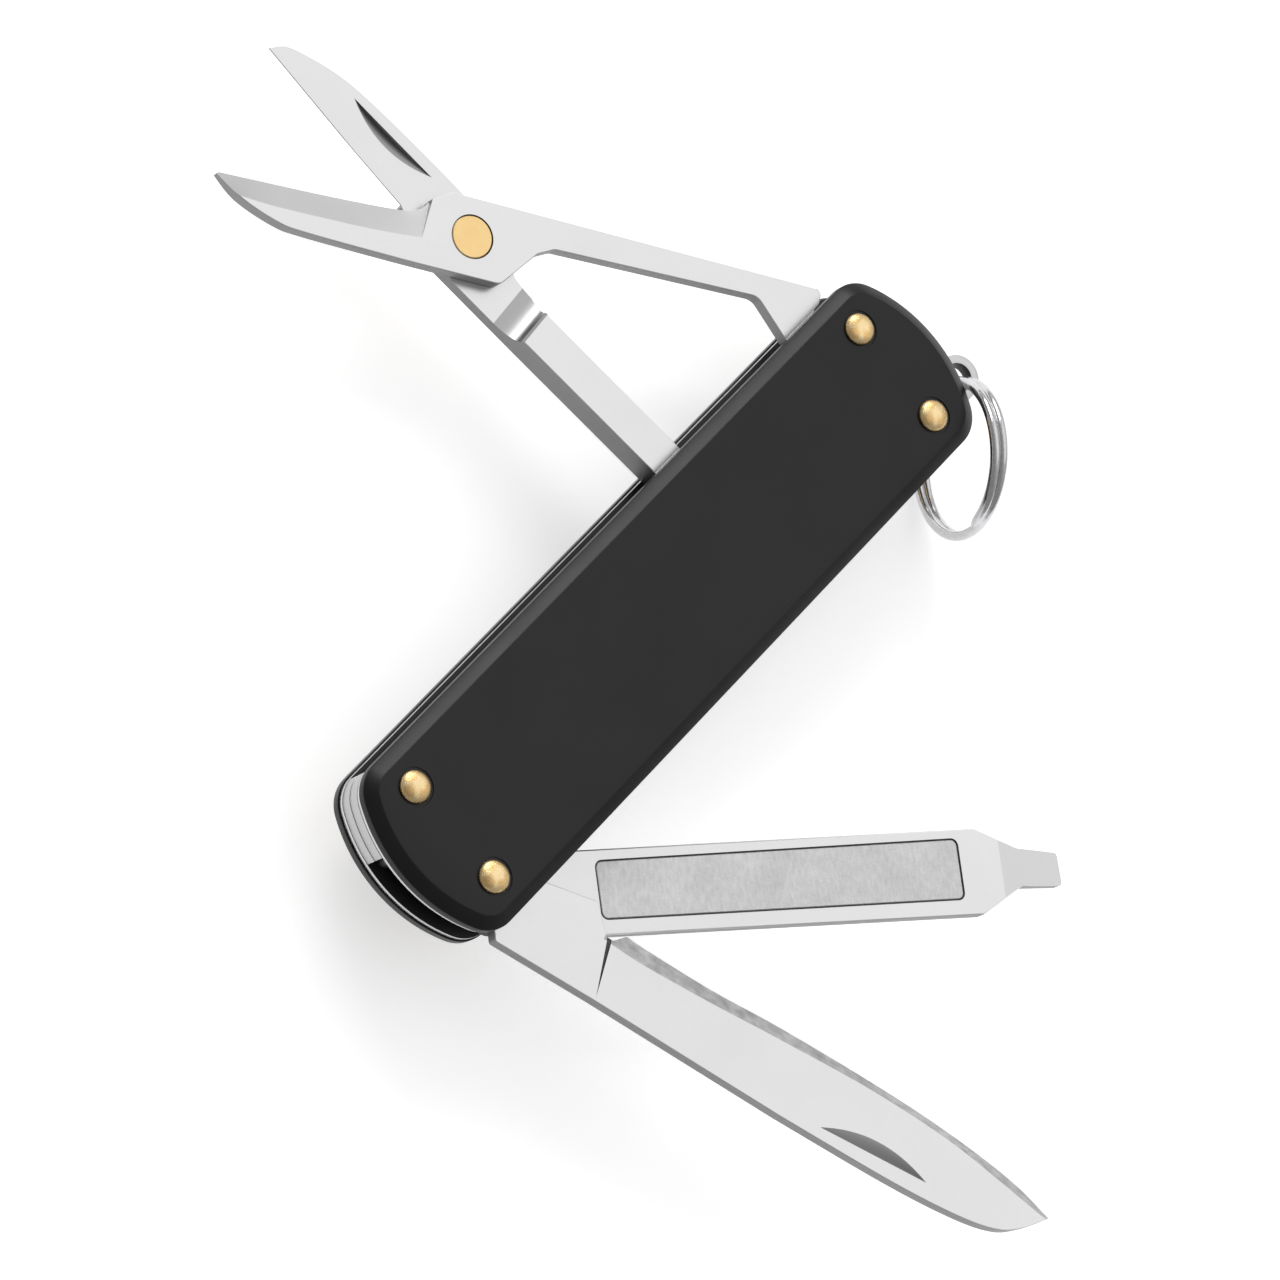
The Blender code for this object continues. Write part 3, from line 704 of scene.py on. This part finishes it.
def softened_copy(node, body_name, paint, shade):
    """A CAD plate with its facets joined again, its edges broken and its hidden faces given painted
    shade.
    """
    body = bmesh.new()
    body.from_mesh(frame["nodes"][node].data)
    bmesh.ops.remove_doubles(body, verts=body.verts, dist=0.000001)
    bmesh.ops.dissolve_limit(body, angle_limit=math.radians(1), verts=body.verts, edges=body.edges)
    mesh = bpy.data.meshes.new(node)
    body.to_mesh(mesh)
    body.free()
    mesh.materials.append(paint)
    mesh.materials.append(shade)
    for face in mesh.polygons:
        # Faces in the gaps between the scales or in the lug's hole get painted shade.
        face.material_index = 1 if looks_inward(face.center / MM, face.normal) else 0
    made = bpy.data.objects.new(node, mesh)
    bpy.context.scene.collection.objects.link(made)
    edge = made.modifiers.new("edge", "BEVEL")
    edge.width = PLATE_EDGE * MM
    edge.segments = 2
    edge.limit_method = "ANGLE"
    edge.angle_limit = math.radians(40)
    edge.use_clamp_overlap = False
    bpy.context.view_layer.update()
    finished = bpy.data.meshes.new_from_object(made.evaluated_get(bpy.context.evaluated_depsgraph_get()))
    made.modifiers.clear()
    made.data = finished
    finished.shade_smooth()
    finished.set_sharp_from_angle(angle=math.radians(50))
    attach(made, body_name)
    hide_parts(node)


# ---------------------------------------------------------------- tools

def make_blade(face, side, bevel, groove, scoop, shade):
    """Knife blade: flat faces, a honed bevel on both sides of the edge, plunge line and nick."""
    tang = rounded([
        (10.6, 1.42, 0), (9.8, 2.3, 0), (8.9, 3.45, 0.35), (4.5, 2.6, 1.5), (-0.4, 3.5, 1.6),
        (-3.3, 2.0, 1.6), (-3.2, -1.8, 1.4), (2.2, -2.5, 0.4), (2.75, -3.45, 0.3), (11.6, -3.45, 0)])
    spine = smooth([
        (28.6, -3.74), (38.6, -3.66), (44.7, -3.28), (48.2, -2.6), (50.2, -1.4), (52.05, 0.5)])
    edge = smooth([
        (52.05, 0.5), (48.1, 1.6), (41.6, 2.33), (34.6, 2.58), (26.0, 2.52), (19.8, 2.26), (13.6, 2.33)])
    nose = rounded([(13.0, 2.36, 0), (12.2, 2.45, 0.35), (11.2, 1.45, 0.25), (10.95, 1.42, 0)])
    outline = tang + spine[:-1] + edge + nose
    low, high = UPPER_LOW, UPPER_HIGH
    # The tang walls up to x = 2.2 and the tang hole get painted shade.
    made = bevelled_plate("knife_blade", outline, low, high, [face, side, shade], tang=2.2)
    cut_round_hole(made, 0, 0, TANG_HOLE, shade)
    near = smooth([
        (10.4, 1.12), (14.0, 0.96), (20.0, 1.15), (26.2, 1.5), (34.7, 1.83), (41.7, 1.6), (47.0, 0.9),
        (50.1, 0.4), (52.2, 0.1)])
    far = smooth([
        (10.4, 2.45), (14.0, 2.33), (20.0, 2.27), (26.2, 2.55), (34.8, 2.58), (42.1, 2.3), (47.7, 1.66),
        (51.0, 0.95), (52.9, 0.4)])
    for sign, surface in ((1, high), (-1, low)):
        cut(made, slope_cutter(near, far, surface, BLADE_GRIND_DEPTH, [bevel, bevel], sign))
        # The plunge line's groove gets painted shade.
        plunge = [(10.5, 1.9), (11.62, -3.2), (10.95, 1.9)]
        cut_prism(made, plunge, *sorted((surface - sign * 0.12, surface + sign)), groove)
    # The nail nick's scoop gets painted shade.
    cut(made, moon_cutter((31.9, -2.85), (41.5, -2.3), 1.12, high, NICK_DEPTH, scoop))
    settle(made, GRIND_SHARP)
    stand(made, pivot_of("blade_fold"), BLADE_ANGLE, "knife_blade", "tool_steel", "knife_blade")


def make_file(face, side, ground, grit, groove, shade):
    """Nail file with a framed abrasive pad on each face and a tapered driver tip."""
    outline = rounded([
        (43.1, 2.35, 0.6), (7.5, 2.2, 1.0), (4.0, 3.4, 1.0), (-0.5, 3.5, 1.5), (-3.3, 2.0, 1.6),
        (-3.3, -1.6, 1.4), (0.8, -3.6, 1.2), (5.0, -4.2, 1.5), (42.9, -4.3, 0.6), (46.6, -2.3, 0.8),
        (50.3, -2.4, 0.3), (50.2, 0.15, 0.3), (46.7, 0.65, 0.8)])
    low, high = LOWER_LOW, LOWER_HIGH
    # The tang walls up to x = 3.0 and the tang hole get painted shade.
    made = bevelled_plate("nail_file", outline, low, high, [face, side, shade], FILE_EDGE, 3.0)
    cut_round_hole(made, 0, 0, TANG_HOLE, shade)
    pad = rounded([(10.1, 1.4, 0.6), (10.1, -3.1, 0.6), (41.45, -3.1, 0.6), (41.45, 1.68, 0.6)])
    within = inset_points(pad, [GROOVE_WIDTH] * len(pad))
    for sign, surface in ((1, high), (-1, low)):
        # The groove around the pad gets painted shade.
        cut_prism(made, pad, *sorted((surface - sign * GROOVE_DEPTH, surface + sign)), groove)
        body = loft([at_height(inset_points(within, [0.05] * len(within)), surface - sign * PAD_DEPTH),
                     at_height(within, surface - sign * (PAD_DEPTH + 0.05)),
                     at_height(within, surface - sign * (GROOVE_DEPTH + 0.05))])
        tile = finish_mesh("nail_file_pad_" + ("front" if sign > 0 else "back"), body, [grit], 40)
        stand(tile, pivot_of("file_fold"), FILE_ANGLE, "nail_file", "tool_steel")
    near = [(45.0, 3), (45.0, -6)]
    far = [(50.4, 3), (50.4, -6)]
    cut(made, slope_cutter(near, far, high, DRIVER_TAPER, [ground, ground]))
    settle(made)
    stand(made, pivot_of("file_fold"), FILE_ANGLE, "nail_file", "tool_steel", "nail_file")


def make_scissor_arm(face, side, hollow, groove, shade):
    """The scissors' long arm: tang, pivot boss and hollow-ground blade."""
    cutting = smooth([(35.9, -1.6), (36.5, -1.15), (37.8, -0.82), (44.0, -0.4), (52.6, -0.05)])
    back = smooth([(52.75, 0.1), (50.9, 1.62), (47.8, 2.78), (45.3, 3.06), (37.6, 3.16)])
    body = rounded([
        (36.0, 3.16, 0), (29.4, 3.1, 0.9), (26.6, 0.0, 0.5), (25.2, -0.7, 0.9), (7.9, -1.25, 1.2),
        (5.1, 1.7, 0.6), (3.2, 3.0, 0.8), (-0.4, 3.5, 2.0), (-3.4, 1.8, 1.8), (-3.4, -1.8, 1.8),
        (0.3, -3.1, 1.0), (2.1, -1.1, 0.4), (3.4, -0.75, 0.3), (2.6, -1.9, 0.3), (2.5, -3.1, 0.45),
        (34.0, -3.05, 0.6), (35.6, -2.1, 0.3), (35.8, -1.75, 0)])
    low, high = UPPER_LOW, UPPER_HIGH
    # The tang walls up to x = 2.9 and the tang hole get painted shade.
    made = bevelled_plate(
        "scissor_arm", cutting + back + body, low, high, [face, side, shade], tang=2.9)
    cut_round_hole(made, 0, 0, TANG_HOLE, shade)
    # The clearance round the scissors rivet gets painted shade.
    cut_round_hole(made, SCISSOR_PIVOT, 0, scissor_rivet_radius() + 0.05, groove)
    near = smooth([(36.12, 1.1), (39.7, 1.41), (43.5, 1.56), (48.0, 1.66), (50.8, 1.55), (53.2, 1.3)])
    far = smooth([(35.6, -1.95), (38.2, -0.85), (43.5, -0.42), (48.0, -0.22), (51.5, -0.1), (53.9, 0.1)])
    cut(made, slope_cutter(near, far, high, HOLLOW_DEPTH, [hollow, side]))
    settle(made, GRIND_SHARP)
    stand(made, pivot_of("scissors_fold_in"), SCISSORS_ANGLE, "scissor_arm", "tool_steel", "scissor_arm")


def scissor_rivet_radius():
    low, high = span("scissor_rivet")
    return (high.x - low.x) / 2


def make_scissor_lever(face, side, hollow, groove, scoop):
    """The crossing half: thin blade, a milled hollow, then the full-thickness thumb lever."""
    back = smooth([
        (2.2, -2.76), (7.0, -2.84), (12.6, -2.74), (15.4, -2.42), (18.0, -1.69), (19.6, -1.0),
        (20.45, 0.1)])
    rest = rounded([
        (11.1, 1.15, 0), (5.4, 1.67, 0.3), (2.5, 3.2, 1.0), (-7.9, 3.3, 0.5), (-24.0, 3.35, 0.4),
        (-24.0, 0.3, 0.4), (-8.5, 0.2, 0.15), (-7.9, 0.1, 0.2), (-6.6, -0.5, 0.5),
        (-4.7, -0.78, 0.8), (-1.2, -2.75, 1.2), (1.0, -2.8, 0)])
    low, high, thin = LOWER_LOW, UPPER_HIGH, LOWER_HIGH
    made = bevelled_plate("scissor_lever", back + rest, low, high, [face, side])
    ramp_start, wall_x, wall_top = -5.6, -7.9, high - 0.2
    profile = [(25.0, high + 1), (25.0, thin), (ramp_start, thin)]
    for k in range(1, 15):
        angle = math.pi / 2 * k / 14
        profile.append((ramp_start + (wall_x - ramp_start) * math.sin(angle),
                        thin + (wall_top - thin) * (1 - math.cos(angle))))
    profile += [(wall_x - 0.2, high), (wall_x - 0.4, high + 0.2), (wall_x - 0.4, high + 1)]
    # The milled ramp gets painted shade; the flat before it keeps the face paint.
    cut(made, profile_cutter(profile, -6.0, 6.0, face, scoop))
    # The nail nick's scoop gets painted shade.
    cut(made, moon_cutter((5.0, -1.87), (13.25, -2.0), 1.08, thin, NICK_DEPTH, scoop))
    near = [(5.3, -0.4), (12.0, -0.9), (21.0, -1.8)]
    far = [(5.3, 1.7), (12.0, 1.1), (21.0, 0.1)]
    cut(made, slope_cutter(near, far, low, LEVER_GRIND_DEPTH, [hollow, side], -1))
    # The clearance round the scissors rivet gets painted shade.
    cut_round_hole(made, 0, 0, scissor_rivet_radius() + 0.06, groove)
    settle(made, GRIND_SHARP)
    turn = math.radians(SCISSORS_ANGLE)
    base = pivot_of("scissors_fold_in")
    centre = (base.x + SCISSOR_PIVOT * math.cos(turn), base.y + SCISSOR_PIVOT * math.sin(turn))
    stand(made, centre, SCISSORS_ANGLE - LEVER_OPENING, "scissor_lever", "tool_steel", "scissor_lever")


def make_scissor_rivet(paint):
    """A flush rivet with a broken edge."""
    low, high = span("scissor_rivet")
    radius = scissor_rivet_radius() - 0.01
    section = [(radius - 0.3, low.z + 0.01), (radius - 0.09, low.z), (radius, low.z + 0.08),
               (radius, high.z - 0.08), (radius - 0.09, high.z), (radius - 0.3, high.z - 0.01)]
    loops = [at_height(circle((0, 0), reach, 96), z) for reach, z in section]
    made = finish_mesh("scissor_rivet", loft(loops), [paint])
    stand(made, ((low.x + high.x) / 2, (low.y + high.y) / 2), 0, "scissor_arm", "brass", "scissor_rivet")


# ---------------------------------------------------------------- key ring

def make_key_ring(paint):
    """A split ring: nearly two turns of round wire, one beside the other."""
    curve = bpy.data.curves.new("key_ring", "CURVE")
    curve.dimensions = "3D"
    curve.bevel_depth = (WIRE_RADIUS - 0.005) * MM
    curve.bevel_resolution = 6
    curve.use_fill_caps = True
    count = int(120 * RING_TURNS)
    spline = curve.splines.new("POLY")
    spline.points.add(count)
    for k in range(count + 1):
        along = k / count - 0.5
        turn = 2 * math.pi * RING_TURNS * along
        side = RING_PITCH * math.tanh(6 * along) / 2
        near_end = max(0.0, abs(along) - 0.5 + 3 / count) * count / 3
        place = Vector((RING_RADIUS * math.cos(turn), side, RING_RADIUS * math.sin(turn))) * MM
        spline.points[k].co = (*place, 1)
        spline.points[k].radius = 1 - 0.35 * near_end ** 2
    ring = bpy.data.objects.new("ring_curve", curve)
    bpy.context.scene.collection.objects.link(ring)
    bpy.context.view_layer.update()
    mesh = bpy.data.meshes.new_from_object(ring.evaluated_get(bpy.context.evaluated_depsgraph_get()))
    bpy.data.objects.remove(ring, do_unlink=True)
    body = bmesh.new()
    body.from_mesh(mesh)
    bmesh.ops.remove_doubles(body, verts=body.verts, dist=0.000001)
    bmesh.ops.scale(body, vec=(1 / MM, 1 / MM, 1 / MM), verts=body.verts)
    made = finish_mesh("key_ring", body, [paint], 50)
    azimuth = math.radians(RING_AZIMUTH)
    elevation = math.radians(RING_ELEVATION)
    reach = (RING_RADIUS + RING_OFFSET) * math.cos(elevation)
    lug = pivot_of("ring_swing")
    made.rotation_euler = (0, 0, azimuth)
    made.location = Vector((
        lug.x + reach * math.cos(azimuth), lug.y + reach * math.sin(azimuth),
        lug.z + reach * math.tan(elevation))) * MM
    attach(made, "key_ring")
    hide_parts("key_ring")


def main():
    bpy.context.scene.view_settings.view_transform = "Standard"
    make_camera()
    make_world()
    make_floor()
    softbox("key_softbox", azimuth=-18, elevation=59, distance=0.75, size=0.75, radiance=0.4)
    softbox("rim_softbox", azimuth=53.7, elevation=33.3, distance=0.9, size=0.45, radiance=4.4)
    black = anodised_black()
    face = satin_steel("lapped_steel", (0.80, 0.80, 0.80), 0.3, (14, 1, 1), 0.0015)
    # Sheared steel for the plates' side walls: rougher, and its tone darkened as painted shade.
    side = satin_steel("sheared_steel_painted_shade", (0.24, 0.24, 0.245), 0.42, (1, 1, 12), 0.004)
    hollow = satin_steel("hollow_ground_steel", (0.70, 0.70, 0.70), 0.34, (1, 14, 1), 0.003)
    # Milled steel, its tone darkened as painted shade, for the nail nicks and the lever's milled ramp.
    scoop = satin_steel("milled_steel_painted_shade", (0.44, 0.44, 0.44), 0.36, (1, 14, 1), 0.003)
    # Painted shade: near-black steel for faces hidden inside the handle, the tang walls and holes, and
    # the lug's hole.
    shade = satin_steel("painted_shade_steel", (0.05, 0.05, 0.05), 0.5, (10, 1, 1), 0.003)
    plate = satin_steel("liner_steel", (0.66, 0.66, 0.665), 0.34, (10, 1, 1), 0.003)
    # Spring steel toned darker than the liners as painted shade between the liners.
    leaf = satin_steel("tempered_steel_painted_shade", (0.52, 0.52, 0.525), 0.34, (10, 1, 1), 0.003)
    bevel = ground_steel()
    grit = file_grit()
    # Painted shade for grooves and narrow gaps.
    groove = dark_groove()
    brass = peened_brass("peened_brass", (1.0, 0.77, 0.42), (0.85, 0.56, 0.24), 0.26, 0.02)
    flat_brass = peened_brass("flat_brass", (0.97, 0.70, 0.33), (0.95, 0.67, 0.31), 0.38, 0.001)
    wire = polished_wire()
    make_scale("front_scale", black, False)
    make_scale("back_scale", black, True)
    make_rivets(brass)
    for node in ("front_liner", "back_liner"):
        softened_copy(node, "handle", plate, shade)
    # Spring leaves between the liners: darker steel as painted shade, their inner faces in painted shade.
    for node in ("scissor_spring_lower", "scissor_spring_upper", "blade_spring"):
        softened_copy(node, "handle", leaf, shade)
    for node in ("file_spring_with_lug", "blade_pivot_bush"):
        softened_copy(node, "handle", plate, shade)
    softened_copy("scissors_pivot_bush", "scissors_pivot", plate, shade)
    make_blade(face, side, bevel, groove, scoop, shade)
    make_file(face, side, hollow, grit, groove, shade)
    make_scissor_arm(face, side, hollow, groove, shade)
    make_scissor_lever(face, side, hollow, groove, scoop)
    make_scissor_rivet(flat_brass)
    make_key_ring(wire)


main()
